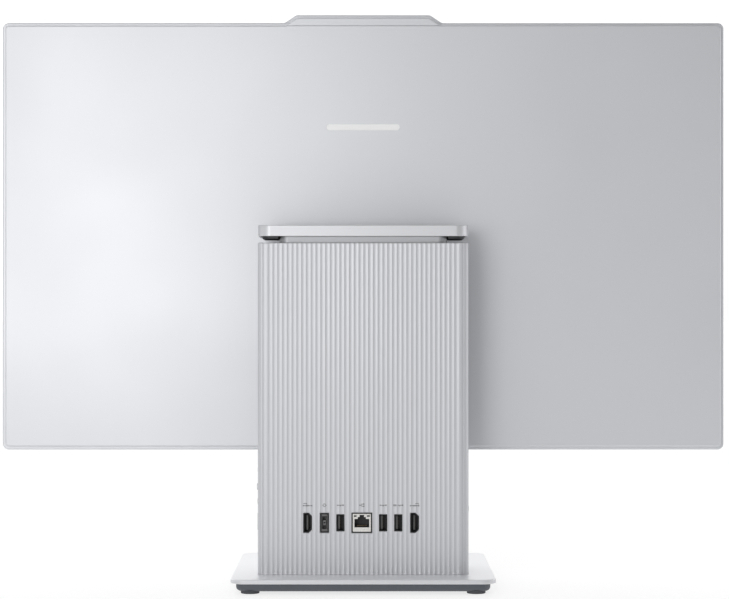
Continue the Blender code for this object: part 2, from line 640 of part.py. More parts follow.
def build_side_controls(paint):
    face, inside = COLUMN_HALF_WIDTH, INNER_HALF_WIDTH - GAP
    for name, side, z, radius, proud in (("source_button", 1, SOURCE_BUTTON_Z, 0.0019, 0.0006),
                                         ("power_button", 1, POWER_BUTTON_Z, 0.0027, 0.0011),
                                         ("menu_button", -1, MENU_BUTTON_Z, 0.0021, 0.0007)):
        span = sorted((side * inside, side * (face + proud)))
        button = rod(name, "X", (SIDE_Y, z), radius, *span, paint["silver"])
        collar = sorted((side * (inside - 0.0012), side * inside))
        join(button, rod(f"{name}_flange", "X", (SIDE_Y, z), radius + 0.0010, *collar))
    rod("status_light", "X", (SIDE_Y, STATUS_LIGHT_Z), 0.0011, -(face + 0.0002), -(inside - 0.0005),
        paint["lens"], 16)

    def around(middle, half):
        return middle - half, middle + half

    mouth, stand_x, stand_y = face + 0.0005, (0.0704, 0.0776), (BOARD_REAR + GAP, SIDE_Y)
    jack = rod("audio_socket", "X", (SIDE_Y, AUDIO_Z), 0.0029, 0.0700, mouth, paint["socket"])
    join(jack, block("audio_stand", stand_x, stand_y, around(AUDIO_Z, 0.0022)))
    cut(jack, rod("audio_bore", "X", (SIDE_Y, AUDIO_Z), 0.0018, 0.0715, face + 0.01))
    port = block("side_data_socket", (0.0700, mouth), around(SIDE_Y, 0.0032), around(SIDE_DATA_Z, 0.0069),
                 paint["socket"])
    join(port, block("side_data_stand", stand_x, stand_y, around(SIDE_DATA_Z, 0.0064)))
    cut(port, block("side_data_pocket", (0.0755, face + 0.01), around(SIDE_Y, 0.0027),
                    around(SIDE_DATA_Z, 0.0064)))
    join(port, block("side_data_tongue", (0.0750, face - 0.0038), (SIDE_Y - 0.0021, SIDE_Y - 0.0003),
                     around(SIDE_DATA_Z, 0.0056)))


# ---------------------------------------------------------------- display

def build_display(paint):
    cover = prism("back_cover", panel_outline(COVER_INSET), "Y", COVER_FRONT, COVER_REAR, paint["silver"])
    soften(cover, 0.0012)
    cut(cover, prism("cover_hollow", panel_outline(COVER_INSET + COVER_WALL), "Y",
                     COVER_FRONT - 0.01, COVER_REAR - COVER_WALL),
        block("cable_opening", (CABLE_X - 0.0035, CABLE_X + 0.0035), (-0.05, -0.015), (0.2615, 0.2725),
              None, 0.002, "Y"))

    frame = prism("display_frame", panel_outline(0), "Y", PANEL_FRONT, FRAME_REAR, paint["silver"])
    soften(frame, 0.0010)
    seat_back = -0.0300
    cut(frame,
        block("lcd_seat", (-LCD_HALF_WIDTH - GAP, LCD_HALF_WIDTH + GAP), (PANEL_FRONT - 0.01, seat_back),
              (PANEL_LOW + RIM, LCD_HIGH + GAP)),
        block("frame_window", (-LCD_HALF_WIDTH + LEDGE, LCD_HALF_WIDTH - LEDGE), (PANEL_FRONT - 0.01, 0),
              (PANEL_LOW + RIM + LEDGE, LCD_HIGH - LEDGE), None, 0.004, "Y"),
        block("camera_pocket", (-POCKET_HALF_WIDTH, POCKET_HALF_WIDTH), (PANEL_FRONT - 0.01, seat_back),
              (POCKET_LOW, POCKET_HIGH), None, 0.0012, "Y"),
        block("shutter_slot", (-0.0022, 0.0102), (-0.0357, -0.0341), (POCKET_HIGH - 0.003, BUMP_HIGH + 0.01)))

    block("lcd_panel", (-LCD_HALF_WIDTH, LCD_HALF_WIDTH), (-0.0365, -0.0355), (LCD_LOW, LCD_HIGH),
          paint["screen"], 0.001, "Y")
    block("backlight_tray", (-LCD_HALF_WIDTH, LCD_HALF_WIDTH), (-0.0352, seat_back - GAP),
          (LCD_LOW, LCD_HIGH), paint["steel"], 0.001, "Y")
    block("chin_strip", (-LCD_HALF_WIDTH, LCD_HALF_WIDTH), (-0.0366, seat_back - GAP),
          (PANEL_LOW + RIM + GAP, LCD_LOW - GAP), paint["silver"], 0.001, "Y")
    block("display_board", (-0.070, 0.070), (-0.0270, -0.0256), (0.135, 0.170), paint["board"], 0.002, "Y")


def build_camera(paint):
    half = POCKET_HALF_WIDTH - GAP
    window = block("camera_window", (-half, half), (-0.0366, -0.0358), (POCKET_LOW + GAP, POCKET_HIGH - GAP),
                   paint["dark"], 0.0012, "Y")
    cut(window, rod("window_hole", "Y", (0, LENS_Z), LENS_RADIUS + 0.0003, -0.05, 0))
    module = block("camera_module", (-0.030, 0.030), (-0.0313, -0.0303),
                   (POCKET_LOW + 0.0006, POCKET_HIGH - 0.0006), paint["board"])
    join(module, rod("camera_barrel", "Y", (0, LENS_Z), LENS_RADIUS, -0.0339, -0.0308))
    blade = block("privacy_shutter", (0.0044, 0.0114), (-0.0354, -0.0344), (LENS_Z - 0.0031, LENS_Z + 0.0031),
                  paint["dark"])
    join(blade, block("shutter_tab", (0.0065, 0.0095), (-0.0354, -0.0344), (LENS_Z, BUMP_HIGH - 0.0002)))


def build_cables(paint):
    """The display's lead: up the side of the neck, forward over the column and into the back of the display.
    It is in two lengths that meet on the hinge's axis, because the display turns there."""
    rise = [(0.0405, 0.2430), (0.0400, 0.2560), (0.0370, 0.2700), (0.0240, 0.2818), (0.0080, 0.2845),
            (HINGE_Y + GAP, HINGE_Z)]
    drop = [(HINGE_Y - GAP, HINGE_Z), (-0.0160, 0.2815), (-0.0190, 0.2740), (-0.0220, 0.2700),
            (-0.0258, 0.2630), (-0.0262, 0.2200), (-0.0262, 0.1712)]
    for name, route, radius in (("lower", rise, 0.0014), ("upper", drop, 0.0010)):
        route = smooth_route([(CABLE_X, y, z) for y, z in route], 4)
        curve_tube(f"display_cable_{name}", route, radius, paint["dark"])


def main():
    for obj in list(bpy.data.objects):
        bpy.data.objects.remove(obj)
    paint = {
        "silver": make_material("silver", (0.66, 0.67, 0.69), 0.42, 0.35),
        "slate": make_material("slate", (0.10, 0.108, 0.125), 0.6),
        "dark": make_material("dark", (0.035, 0.036, 0.04), 0.55),
        "rubber": make_material("rubber", (0.06, 0.063, 0.07), 0.85),
        "steel": make_material("steel", (0.55, 0.56, 0.58), 0.35, 1.0),
        "aluminium": make_material("aluminium", (0.72, 0.73, 0.75), 0.4, 1.0),
        "copper": make_material("copper", (0.72, 0.38, 0.22), 0.3, 1.0),
        "board": make_material("board", (0.02, 0.10, 0.05), 0.5),
        "chip": make_material("chip", (0.12, 0.12, 0.13), 0.3),
        "socket": make_material("socket", (0.03, 0.03, 0.032), 0.35, 0.3),
        "screen": make_material("screen", (0.008, 0.008, 0.01), 0.25),
        "lens": make_material("lens", (0.8, 0.82, 0.85), 0.2),
    }
    build_display(paint)
    build_camera(paint)
    build_column_frame(paint)
    build_base(paint)
    build_shells(paint)
    build_top(paint)
    build_hinge(paint)
    build_board(paint)
    build_cooler(paint)
    build_speakers(paint)
    build_sockets(paint)
    build_side_controls(paint)
    build_cables(paint)


main()
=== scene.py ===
from math import pi, radians

import bmesh
import bpy
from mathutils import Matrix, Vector


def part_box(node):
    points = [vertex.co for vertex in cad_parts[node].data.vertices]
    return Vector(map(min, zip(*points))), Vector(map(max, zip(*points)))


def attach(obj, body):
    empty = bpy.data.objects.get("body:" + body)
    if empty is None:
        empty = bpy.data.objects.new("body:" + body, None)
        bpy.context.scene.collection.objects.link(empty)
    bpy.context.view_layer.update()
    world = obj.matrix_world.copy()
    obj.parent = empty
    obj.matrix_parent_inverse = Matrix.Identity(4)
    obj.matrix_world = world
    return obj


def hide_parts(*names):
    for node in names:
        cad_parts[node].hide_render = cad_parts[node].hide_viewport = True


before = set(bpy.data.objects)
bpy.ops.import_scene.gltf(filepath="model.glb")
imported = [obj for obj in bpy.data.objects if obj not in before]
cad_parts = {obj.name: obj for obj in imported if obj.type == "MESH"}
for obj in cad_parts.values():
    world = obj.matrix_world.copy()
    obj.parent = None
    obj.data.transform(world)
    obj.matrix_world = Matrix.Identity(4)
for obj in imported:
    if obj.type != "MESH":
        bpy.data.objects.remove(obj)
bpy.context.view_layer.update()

mm = 0.001


# Camera, light and floor

view = {"distance": 1.964, "height": 0.2308, "lens": 115.5, "shiftX": 0.0018, "shiftY": 0.0075}
camera = bpy.data.objects.new("camera", bpy.data.cameras.new("camera"))
bpy.context.scene.collection.objects.link(camera)
camera.location = (0, view["distance"], view["height"])
camera.rotation_euler = (radians(90), 0, radians(180))
camera.data.lens = view["lens"]
camera.data.shift_x, camera.data.shift_y = view["shiftX"], view["shiftY"]
bpy.context.scene.camera = camera
bpy.context.scene.view_settings.view_transform = "Standard"

studio = {
    "lights": {  # place, size, power
        "keyLight": ((0.40, 1.75, 0.42), (0.45, 0.60), 5.1),
        "fillLight": ((0.85, 1.60, 0.35), (0.60, 0.60), 1.1),
        "rimLight": ((-1.30, 0.0, 0.30), (1.10, 0.90), 3.4),
    },
    "aim": (0, 0, 0.28),
    "sky": {"left": 0.68, "away": 1.01, "up": 0.60},  # how strongly each side of the sky shines
    "floor": 0.24, "floorGlow": 0.74, "floorSize": 60,
}


def addSoftbox(name, place, target, size, power):
    data = bpy.data.lights.new(name, "AREA")
    data.shape, data.size, data.size_y, data.energy = "RECTANGLE", *size, power
    lamp = bpy.data.objects.new(name, data)
    bpy.context.scene.collection.objects.link(lamp)
    lamp.location = place
    lamp.rotation_euler = (Vector(target) - Vector(place)).to_track_quat("-Z", "Y").to_euler()


for lightName, (lightPlace, lightSize, lightPower) in studio["lights"].items():
    addSoftbox(lightName, lightPlace, studio["aim"], lightSize, lightPower)


# Shader maths is written as sums on wires

class Wire:
    def __init__(self, paint, socket):
        self.paint, self.socket = paint, socket

    def maths(self, operation, first, second):
        return self.paint.node("Math", {"operation": operation}, first, second)

    def __add__(self, other):
        return self.maths("ADD", self, other)

    def __sub__(self, other):
        return self.maths("SUBTRACT", self, other)

    def __rsub__(self, other):
        return self.maths("SUBTRACT", other, self)

    def __mul__(self, other):
        return self.maths("MULTIPLY", self, other)

    __radd__, __rmul__ = __add__, __mul__


class Paint:
    def __init__(self, name, tree=None):
        if tree is None:
            self.material = bpy.data.materials.new(name)
            self.material.use_nodes = True
            tree = self.material.node_tree
            self.shader = tree.nodes["Principled BSDF"]
        self.tree = tree

    def node(self, kind, settings, *values, out=0):
        made = self.tree.nodes.new("ShaderNode" + kind)
        for name, value in settings.items():
            setattr(made, name, value)
        for socket, value in zip([s for s in made.inputs if s.enabled], values):
            self.join(value, socket)
        return Wire(self, [s for s in made.outputs if s.enabled][out])

    def join(self, value, socket):
        if isinstance(value, Wire):
            self.tree.links.new(value.socket, socket)
        elif value is not None:
            socket.default_value = value

    def feed(self, **values):
        for name, value in values.items():
            words = "".join(" " + c if c.isupper() else c for c in name).strip().title()
            if words == "Base Color" and not isinstance(value, Wire):
                value = (*value, 1)
            self.join(value, self.shader.inputs[words])

    def place(self, stretch=(1, 1, 1)):
        where = self.node("TexCoord", {}, out=3)
        return self.node("Mapping", {}, where, (0, 0, 0), (0, 0, 0), stretch)

    def noise(self, scale, detail=2.0, stretch=(1, 1, 1)):
        return self.node("TexNoise", {}, self.place(stretch), scale, detail)

    def mix(self, share, first, second):
        # sockets 6 and 7 and output 2 are the ones for colours
        made = self.tree.nodes.new("ShaderNodeMix")
        made.data_type = "RGBA"
        self.join(share, made.inputs["Factor"])
        self.join((*first, 1), made.inputs[6])
        self.join((*second, 1), made.inputs[7])
        return Wire(self, made.outputs[2])

    def bump(self, height, strength, depth):
        made = self.tree.nodes.new("ShaderNodeBump")
        self.join(strength, made.inputs["Strength"])
        self.join(depth, made.inputs["Distance"])
        self.join(height, made.inputs["Height"])
        self.feed(normal=Wire(self, made.outputs["Normal"]))


def tone(colour, factor):
    return tuple(min(1.0, c * factor) for c in colour)


def mouldedFinish(name, colour, roughness, metallic=0.0, grain=2600, depth=0.00002, spread=0.04, coat=0.0):
    # paint or plastic with a fine even grain, and a slow drift in tone and gloss
    paint = Paint(name)
    fine = paint.noise(grain, 3.0)
    slow = paint.noise(7.0, 2.0)
    shade = paint.mix(fine * 0.5 + slow * 0.5, tone(colour, 1 - spread), tone(colour, 1 + spread))
    gloss = roughness + (slow - 0.5) * 0.10 + (fine - 0.5) * 0.06
    paint.feed(baseColor=shade, roughness=gloss, metallic=metallic, coatWeight=coat)
    paint.bump(fine, 0.35, depth)
    return paint.material


def brushedFinish(name, colour, roughness, metallic, along=(0.02, 1, 1), strength=1.0):
    # fine straight scratches along one direction
    paint = Paint(name)
    streak = paint.noise(4200, 2.0, along)
    slow = paint.noise(9.0, 2.0)
    shade = paint.mix(streak, tone(colour, 1 - 0.05 * strength), tone(colour, 1 + 0.05 * strength))
    gloss = roughness + (streak - 0.5) * (0.14 * strength) + (slow - 0.5) * 0.06
    paint.feed(baseColor=shade, roughness=gloss, metallic=metallic)
    paint.bump(streak, 0.20 * strength, 0.00001)
    return paint.material


def boardFinish(name):
    # solder mask with copper tracks under it
    paint = Paint(name)
    darkMask, lightMask, track = (0.0, 0.09, 0.04, 1), (0.01, 0.13, 0.06, 1), (0.02, 0.20, 0.09, 1)
    tracks = paint.node("TexBrick", {"offset": 0.5}, paint.place(), darkMask, lightMask, track, 160.0, 0.03)
    slow = paint.noise(40.0, 3.0)
    paint.feed(baseColor=tracks, roughness=0.35 + slow * 0.2, metallic=0.0, coatWeight=0.3)
    paint.bump(slow, 0.3, 0.0001)
    return paint.material


def screenFinish(name):
    # anti-glare glass over the dark picture area
    paint = Paint(name)
    sparkle = paint.noise(6000, 2.0)
    shade = paint.mix(sparkle, (0.006, 0.006, 0.008), (0.010, 0.010, 0.013))
    paint.feed(baseColor=shade, roughness=0.16 + (sparkle - 0.5) * 0.06, metallic=0.0, coatWeight=0.2)
    paint.bump(sparkle, 0.1, 0.000005)
    return paint.material


# colour, roughness and metallic, then a moulded finish's grain, its depth, spread of tone and coat,
# or the way and the strength of a brushed one's scratches
finishes = {
    "silver": mouldedFinish("satinSilver", (0.64, 0.65, 0.675), 0.40, 0.45, 3000, 0.00001, 0.015),
    # a darker copy of the satin silver for the column's shells and neck: painted shade
    "shell": mouldedFinish("shadedShellSilver", (0.560, 0.567, 0.590), 0.44, 0.45, 3000, 0.00001, 0.015),
    "cap": brushedFinish("brushedCap", (0.605, 0.61, 0.63), 0.40, 0.52, strength=0.25),
    # the base plate's top and its side faces are lit and shaded copies of one silver: painted light on the
    # top, painted shade on the sides
    "plate": brushedFinish("brushedPlateLitTop", (0.86, 0.865, 0.885), 0.36, 0.60, strength=0.4),
    "shadedPlateEdge": mouldedFinish("shadedPlateEdge", (0.645, 0.65, 0.67), 0.42, 0.45, 3000, 0.00001, 0.015),
    "slate": mouldedFinish("slatePlastic", (0.079, 0.087, 0.102), 0.55, 0.0, 1800, 0.00004, 0.06),
    "dark": mouldedFinish("blackPlastic", (0.022, 0.023, 0.026), 0.48, 0.0, 1800, 0.00003, 0.10),
    "rubber": mouldedFinish("footRubber", (0.060, 0.064, 0.072), 0.82, 0.0, 1400, 0.00006, 0.10),
    "steel": brushedFinish("zincSteel", (0.56, 0.57, 0.58), 0.36, 1.0),
    "aluminium": mouldedFinish("castAluminium", (0.70, 0.71, 0.73), 0.42, 1.0, 1500, 0.00005, 0.05),
    "copper": brushedFinish("bareCopper", (0.78, 0.42, 0.27), 0.30, 1.0),
    "board": boardFinish("circuitBoard"),
    "chip": mouldedFinish("chipPackage", (0.05, 0.05, 0.055), 0.35, 0.0, 2500, 0.00002),
    "nickel": brushedFinish("nickelShell", (0.62, 0.61, 0.59), 0.28, 1.0, (1, 1, 0.05)),
    # metal socket shells painted near black, beside the bright nickel ones: painted shade in the socket
    # mouths
    "shadeShell": brushedFinish("shadedSocketShell", (0.016, 0.016, 0.017), 0.36, 0.45, (1, 1, 0.05)),
    "socket": mouldedFinish("socketPlastic", (0.012, 0.012, 0.013), 0.40, 0.0, 1800, 0.00002, 0.10),
    "tongue": mouldedFinish("tonguePlastic", (0.10, 0.102, 0.10), 0.45, 0.0, 1800, 0.00002, 0.08),
    "insert": mouldedFinish("insertPlastic", (0.155, 0.155, 0.155), 0.45, 0.0, 1800, 0.00002, 0.08),
    "gold": brushedFinish("goldContact", (0.34, 0.26, 0.14), 0.30, 1.0),
    "screen": screenFinish("screenGlass"),
    "smoke": mouldedFinish("smokedWindow", (0.05, 0.055, 0.05), 0.15, 0.0, 900, 0.00001, 0.05, 0.5),
    "lens": mouldedFinish("clearPipe", (0.70, 0.72, 0.74), 0.18, 0.0, 900, 0.00001, 0.02, 0.5),
    "ink": mouldedFinish("greyInk", (0.24, 0.245, 0.255), 0.55, 0.0, 2500, 0.00001),
    "badge": mouldedFinish("whiteEnamel", (0.95, 0.95, 0.95), 0.30, 0.0, 2500, 0.00001, 0.01, 0.3),
}
print("finishes made:", len(finishes))


# Hand tools: each works on one piece, in edit mode where it says so

tiny = 0.00002  # places closer than this count as one
weld, fineWeld = 0.000005, 0.000002  # points closer than this are merged


def putDown():
    if bpy.context.object and bpy.context.object.mode == "EDIT":
        bpy.ops.object.mode_set(mode="OBJECT")
    bpy.ops.object.select_all(action="DESELECT")


def takeUp(piece):
    putDown()
    piece.select_set(True)
    bpy.context.view_layer.objects.active = piece


def settled(name):
    bpy.ops.object.transform_apply(location=True, rotation=True, scale=True)
    bpy.context.object.name = name
    return bpy.context.object


def startBlock(name, low, high):
    putDown()
    middle = [(a + b) / 2 for a, b in zip(low, high)]
    bpy.ops.mesh.primitive_cube_add(size=1, location=middle, scale=[b - a for a, b in zip(low, high)])
    return settled(name)


def startRod(name, axis, middle, radius, length, sides=48):
    turn = {"X": (0, pi / 2, 0), "Y": (pi / 2, 0, 0), "Z": (0, 0, 0)}[axis]
    putDown()
    bpy.ops.mesh.primitive_cylinder_add(vertices=sides, radius=radius, depth=length,
                                        location=middle, rotation=turn)
    return settled(name)


def pick(piece, kind, wanted):
    # in edit mode, selects every vertex, edge or face that wanted() says yes to
    takeUp(piece)
    bpy.ops.object.mode_set(mode="EDIT")
    bpy.ops.mesh.select_mode(type=kind)
    bpy.ops.mesh.select_all(action="DESELECT")
    mesh = bmesh.from_edit_mesh(piece.data)
    for item in {"VERT": mesh.verts, "EDGE": mesh.edges, "FACE": mesh.faces}[kind]:
        if wanted(item):
            item.select_set(True)
    bmesh.update_edit_mesh(piece.data)


def near(a, b):
    return abs(a - b) < tiny


def runsAlong(edge, axis):
    a, b = edge.verts[0].co, edge.verts[1].co
    return (b - a).length > tiny and abs((b - a)[axis]) > 0.999 * (b - a).length


def middleOf(edge):
    return (edge.verts[0].co + edge.verts[1].co) / 2


def roundOver(piece, radius, steps, wanted):
    pick(piece, "EDGE", wanted)
    bpy.ops.mesh.bevel(offset=radius, segments=steps, affect="EDGES", profile=0.5)
    putDown()


def roundRim(piece, axis, place, radius, steps):
    # the outline of the flat face that lies at place along axis
    roundOver(piece, radius, steps, lambda edge: all(near(v.co[axis], place) for v in edge.verts)
              and any(abs(face.normal[axis]) < 0.5 for face in edge.link_faces))


def roundCorners(piece, axis, radius, steps, wanted=lambda place: True):
    roundOver(piece, radius, steps, lambda edge: runsAlong(edge, axis) and wanted(middleOf(edge)))


def pull(move):
    bpy.ops.mesh.extrude_region_move(TRANSFORM_OT_translate={"value": move})


def applied(piece, kind, **settings):
    takeUp(piece)
    bpy.ops.object.modifier_add(type=kind)
    modifier = piece.modifiers[-1]
    for name, value in settings.items():
        setattr(modifier, name, value)
    bpy.ops.object.modifier_apply(modifier=modifier.name)
    putDown()


def combine(piece, other, operation):
    applied(piece, "BOOLEAN", operation=operation, solver="EXACT", object=other)
    bpy.data.objects.remove(other)


def cutAway(piece, *others):
    for other in others:
        combine(piece, other, "DIFFERENCE")


def joined(name, pieces):
    takeUp(pieces[0])
    for other in pieces:
        other.select_set(True)
    bpy.ops.object.join()
    pieces[0].name = name
    putDown()
    return pieces[0]


def complete(piece, body, finish, slotName, *nodes, smooth=38):
    # merged, turned outwards, shaded, painted, and given its body; the nodes that it stands for are hidden
    takeUp(piece)
    bpy.ops.object.mode_set(mode="EDIT")
    bpy.ops.mesh.select_all(action="SELECT")
    bpy.ops.mesh.remove_doubles(threshold=fineWeld)
    bpy.ops.mesh.normals_make_consistent(inside=False)
    bpy.ops.object.mode_set(mode="OBJECT")
    bpy.ops.object.shade_smooth_by_angle(angle=radians(smooth))
    applied(piece, "WEIGHTED_NORMAL", keep_sharp=True)
    piece.data.materials.clear()
    piece.data.materials.append(finishes[finish])
    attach(piece, body)
    if nodes:
        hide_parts(*nodes)
    return piece


# Display: frame, rear cover, badge and what is on the screen side

display = {
    "shoulder": 471.0 * mm, "corner": 5.2 * mm,
    "bumpFoot": 67.0 * mm, "bumpTop": 56.9 * mm, "bumpRound": 1.4 * mm,  # half widths, and their corners
    "rim": 2.5 * mm, "seatBack": -30.0 * mm, "bezel": 12 * mm, "bezelTop": 9 * mm,
    "pocket": (36 * mm, 468.9 * mm, 476.2 * mm),  # the camera's pocket: half width, low, high
    "tabSlot": ((-2.2 * mm, -35.7 * mm, 473 * mm), (10.2 * mm, -34.1 * mm, 490 * mm)),
    "coverInset": 2.9 * mm, "coverWall": 1.8 * mm, "coverCorner": 2.8 * mm,
    "leadOpening": ((59 * mm, -50 * mm, 261.5 * mm), (66 * mm, -15 * mm, 272.5 * mm)),
    "screwHole": (46 * mm, 252 * mm, 2.0 * mm),  # place in x, height, radius
    "lens": (472.5 * mm, 1.7 * mm, 0.24),  # height, radius, flatness
    "badgeHeight": 381.8 * mm, "badgeSize": (62 * mm, 5.0 * mm), "badgeProud": 0.35 * mm,
}
frameLow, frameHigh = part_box("display_frame")
coverLow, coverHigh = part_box("back_cover")


def panelBlank(name, inset, front, rear, corner):
    # a slab with the camera bump drawn up out of its top edge
    side, low = frameHigh.x - inset, frameLow.z + inset
    shoulder, top = display["shoulder"] - inset, frameHigh.z - inset
    foot, crown = display["bumpFoot"] - inset * 0.3, display["bumpTop"] - inset * 0.3
    blank = startBlock(name, (-side, front, low), (side, rear, shoulder))
    for place in (-foot, foot):
        pick(blank, "FACE", lambda face: True)
        bpy.ops.mesh.bisect(plane_co=(place, 0, 0), plane_no=(1, 0, 0))
    pick(blank, "FACE", lambda face: face.normal.z > 0.9 and abs(face.calc_center_median().x) < foot / 2)
    pull((0, 0, top - shoulder))
    bpy.ops.transform.resize(value=(crown / foot, 1, 1))
    roundCorners(blank, 1, corner, 8, lambda place: near(abs(place.x), side))
    roundCorners(blank, 1, display["bumpRound"], 5, lambda place: place.z > shoulder - tiny and (
        near(abs(place.x), foot) or near(abs(place.x), crown)))
    return blank


def makeOuterFrame():
    back, rim, width = display["seatBack"], display["rim"], frameHigh.x
    past, bezel = frameLow.y - 10 * mm, display["bezel"]
    outer = panelBlank("outerFrame", 0, frameLow.y, frameHigh.y, display["corner"])
    roundRim(outer, 1, frameHigh.y, 1.0 * mm, 4)
    roundRim(outer, 1, frameLow.y, 0.6 * mm, 3)
    seatTop = display["shoulder"] - rim
    halfPocket, pocketLow, pocketHigh = display["pocket"]
    pocket = startBlock("pocketCut", (-halfPocket, past, pocketLow), (halfPocket, back, pocketHigh))
    roundCorners(pocket, 1, 1.2 * mm, 4)
    seat = startBlock("seatCut", (rim - width, past, frameLow.z + rim), (width - rim, back, seatTop))
    window = startBlock("windowCut", (bezel - width, past, frameLow.z + bezel),
                        (width - bezel, 0, seatTop - display["bezelTop"]))
    cutAway(outer, seat, window, pocket, startBlock("tabSlot", *display["tabSlot"]))
    complete(outer, "display", "silver", "silver", "display_frame")


def makeCover():
    inset, wall = display["coverInset"], display["coverWall"]
    cover = panelBlank("rearCover", inset, coverLow.y, coverHigh.y, display["coverCorner"])
    roundRim(cover, 1, coverHigh.y, 1.1 * mm, 5)
    opening = startBlock("leadCut", *display["leadOpening"])
    roundCorners(opening, 1, 2 * mm, 4)
    hollow = panelBlank("hollowCut", inset + wall, coverLow.y - 10 * mm, coverHigh.y - wall, 1.5 * mm)
    x, height, radius = display["screwHole"]
    screws = [startRod("holeCut", "Y", (side * x, -25 * mm, height), radius, 20 * mm, 24) for side in (1, -1)]
    cutAway(cover, hollow, opening, *screws)
    complete(cover, "display", "silver", "silver", "back_cover")


def makeBadge():
    width, height = (value / 2 for value in display["badgeSize"])
    low = display["badgeHeight"] - height
    badge = startBlock("plainBadge", (-width, coverHigh.y + 0.02 * mm, low),
                       (width, coverHigh.y + display["badgeProud"], low + 2 * height))
    roundCorners(badge, 1, height * 0.98, 12)
    roundRim(badge, 1, coverHigh.y + display["badgeProud"], 0.2 * mm, 3)
    complete(badge, "display", "badge", "silver")


def makeScreenSide():
    low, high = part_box("lcd_panel")
    glass = startBlock("screenGlass", low, high)
    roundCorners(glass, 1, 1.0 * mm, 4)
    roundRim(glass, 1, low.y, 0.25 * mm, 2)
    complete(glass, "display", "screen", "screen", "lcd_panel")
    low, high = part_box("chin_strip")
    chin = startBlock("chinStrip", low, high)
    roundCorners(chin, 1, 1.0 * mm, 4)
    roundRim(chin, 1, low.y, 0.3 * mm, 2)
    complete(chin, "display", "silver", "silver", "chin_strip")
    low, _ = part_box("camera_module")
    height, radius, flatness = display["lens"]
    putDown()
    bpy.ops.mesh.primitive_uv_sphere_add(segments=32, ring_count=16, radius=radius,
                                         location=(0, low.y + 0.1 * mm, height), scale=(1, flatness, 1))
    complete(settled("cameraLens"), "display", "screen", "screen")


makeOuterFrame()
makeCover()
makeBadge()
makeScreenSide()
print("display made")


# Base: plate, tray and feet

base = {
    "corner": 12 * mm, "edge": 1.0 * mm, "underEdge": 0.5 * mm, "trayCorner": 9.8 * mm, "trayRound": 3.4 * mm,
    "footRound": 0.7 * mm, "footRing": 2.2 * mm, "footDish": 0.4 * mm,
}


def makeBase():
    low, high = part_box("base_plate")
    plate = startBlock("basePlate", low, high)
    roundCorners(plate, 2, base["corner"], 12)
    roundRim(plate, 2, high.z, base["edge"], 4)
    roundRim(plate, 2, low.z, base["underEdge"], 3)
    complete(plate, "root", "plate", "silver", "base_plate")
    # the side faces get the darker copy of the plate's silver: painted shade on the edges, with the painted
    # light kept on the top
    plate.data.materials.append(finishes["shadedPlateEdge"])
    for face in plate.data.polygons:
        face.material_index = 1 if abs(face.normal.z) < 0.5 else 0
    low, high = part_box("base_tray")
    tray = startBlock("baseTray", low, high)
    roundCorners(tray, 2, base["trayCorner"], 12)
    roundRim(tray, 2, low.z, base["trayRound"], 6)
    complete(tray, "root", "slate", "slate", "base_tray")
    for place in ("front_left", "front_right", "rear_left", "rear_right"):
        low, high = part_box("foot_" + place)
        foot = startRod("foot." + place, "Z", (low + high) / 2, (high.x - low.x) / 2, high.z - low.z)
        roundRim(foot, 2, low.z, base["footRound"], 3)
        pick(foot, "FACE", lambda face: all(near(v.co.z, low.z) for v in face.verts))
        bpy.ops.mesh.inset(thickness=base["footRing"])
        bpy.ops.mesh.inset(thickness=0.5 * mm, depth=-base["footDish"])
        complete(foot, "root", "rubber", "rubber", "foot_" + place)


makeBase()
print("base made")


# Column: fluted rear shell, front shell, neck and cap

column = {
    "flutes": 40, "pitch": 3.88 * mm, "depth": 0.22 * mm, "steps": 8, "corner": 4.0 * mm, "wall": 2.2 * mm,
    "seam": 2.1 * mm, "edge": 1.0 * mm, "collar": 0.75 * mm, "collarSet": 0.04 * mm, "flare": 0.32 * mm,
    "groove": (79.7 * mm, 81.1 * mm, 81.7 * mm), "grooveDepth": 0.45 * mm, "hang": 0.22 * mm,
    "dataSlot": (3.5 * mm, 46.9 * mm, 61.3 * mm),  # half width, low, high
    "lockSlot": ((56.5 * mm, 49.8 * mm), (59.5 * mm, 56.8 * mm)),  # y and z of its two corners
    "frontRound": 1.6 * mm, "flange": (81.75 * mm, 83.15 * mm),
    # rows of upright slots: middle, count, height, length and pitch in mm
    "vents": ((-28, 12, 190, 30), (44.5, 7, 58, 36), (-44.5, 7, 58, 36)), "ventPitch": 6.2,
    "ventHalf": 1.4 * mm, "ventRound": 1.35 * mm,
    "neckRound": 7.5 * mm, "neckWall": 2.5 * mm, "neckRise": 0.2 * mm,
    "capRound": 10.5 * mm, "capFrontRound": 2.5 * mm, "capEdge": 0.7 * mm, "capUnderEdge": 0.35 * mm,
    "capWall": 2 * mm, "capHollow": 3.1 * mm, "linerInset": 2.3 * mm,
    "lip": (69.1 * mm, 82.15 * mm), "shadeLipRound": 7 * mm,
}
shellLow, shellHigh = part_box("rear_shell")
fluteHalf = column["flutes"] * column["pitch"] / 2
socketZ, sideY = 54 * mm, 52 * mm
holes = {  # middle in x, half width, half height, cut corner
    "videoOut": (45.1 * mm, 3.5 * mm, 8.1 * mm, 2.6 * mm),
    "power": (31.4 * mm, 3.7 * mm, 8.1 * mm, 0),
    "dataOne": (18.5 * mm, 3.3 * mm, 6.9 * mm, 0),
    "network": (1.1 * mm, 8.4 * mm, 8.3 * mm, 0),
    "dataTwo": (-16.2 * mm, 3.3 * mm, 6.9 * mm, 0),
    "dataThree": (-28.5 * mm, 3.3 * mm, 6.9 * mm, 0),
    "videoIn": (-41.7 * mm, 3.5 * mm, 8.1 * mm, 2.6 * mm),
}
